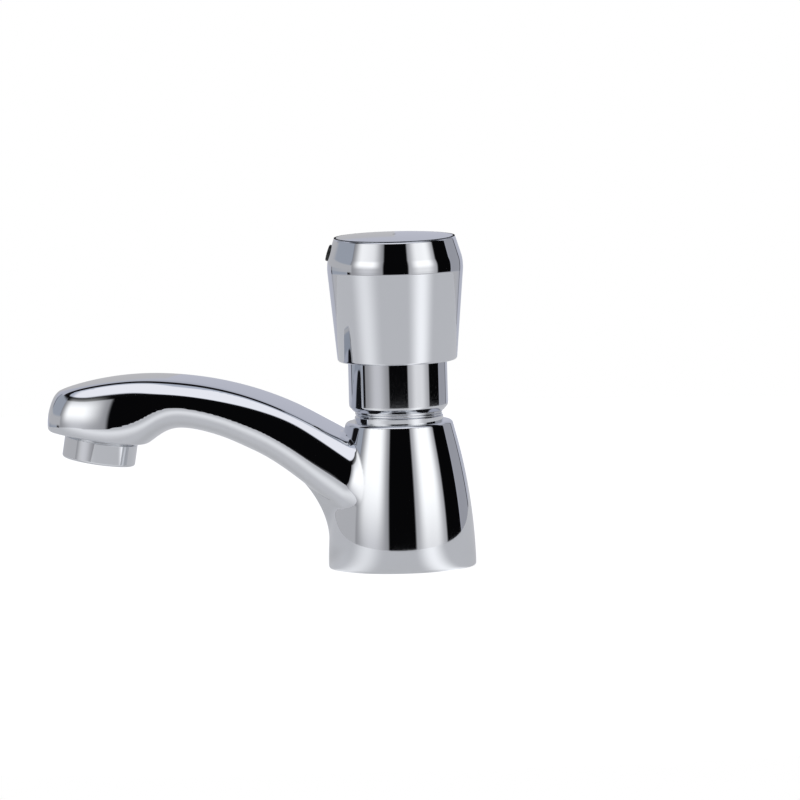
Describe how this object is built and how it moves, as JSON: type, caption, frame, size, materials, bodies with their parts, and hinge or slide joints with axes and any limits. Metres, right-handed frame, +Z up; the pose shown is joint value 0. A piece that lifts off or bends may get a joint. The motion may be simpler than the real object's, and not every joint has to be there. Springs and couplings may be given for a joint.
{
  "type": "push timed tap",
  "caption": "Chrome push timed basin tap with a cast spout, a round push cap, an aerator and deck fixings.",
  "frame": {"origin": "centre of the base on the deck plane", "axes": "+Z up along the body's axis, spout along -X"},
  "size_m": [0.1494, 0.051, 0.1653],
  "materials": {
    "chrome_plate": "polished chrome plate",
    "brass": "machined",
    "stainless_steel": "bright drawn",
    "black_rubber": "matte",
    "white_plastic": "moulded acetal",
    "dark_plastic": "moulded"
  },
  "bodies": {
    "tap_body": {"aerator_gasket": "black_rubber", "aerator_insert": "white_plastic", "aerator_screen": "stainless_steel", "aerator_shell": "chrome_plate", "base_gasket": "black_rubber", "bonnet_sleeve": "chrome_plate", "bush_oring": "black_rubber", "deck_rubber_washer": "black_rubber", "deck_steel_washer": "stainless_steel", "flow_regulator": "white_plastic", "guide_bush": "brass", "housing_orings": "black_rubber", "inlet_shank": "brass", "inlet_strainer": "stainless_steel", "lock_nut": "brass", "return_spring": "stainless_steel", "seat_gasket": "black_rubber", "seat_ring": "brass", "shank_oring": "black_rubber", "spout_body": "chrome_plate", "stem_oring": "black_rubber", "timing_screw": "brass", "valve_housing": "brass"},
    "timing_piston": {"piston": "white_plastic", "piston_cup": "black_rubber"},
    "push_stem": {"stem": "stainless_steel", "piston_clips": "stainless_steel", "valve_disc_washer": "black_rubber", "valve_disc_holder": "brass", "valve_disc_nut": "brass", "push_cap": "chrome_plate", "index_plug": "dark_plastic", "cap_set_screw": "stainless_steel"}
  },
  "joints": [
    {"name": "button_push", "type": "slide", "parent": "tap_body", "child": "timing_piston", "axis": [0, 0, -1], "range_m": [0, 0.008], "stiffness_N_per_m": 1800, "springref_m": -0.01, "deforming": ["return_spring"]},
    {"name": "button_turn", "type": "hinge", "parent": "timing_piston", "child": "push_stem", "pos_m": [0, 0, 0.09], "axis": [0, 0, 1], "continuous": true}
  ]
}
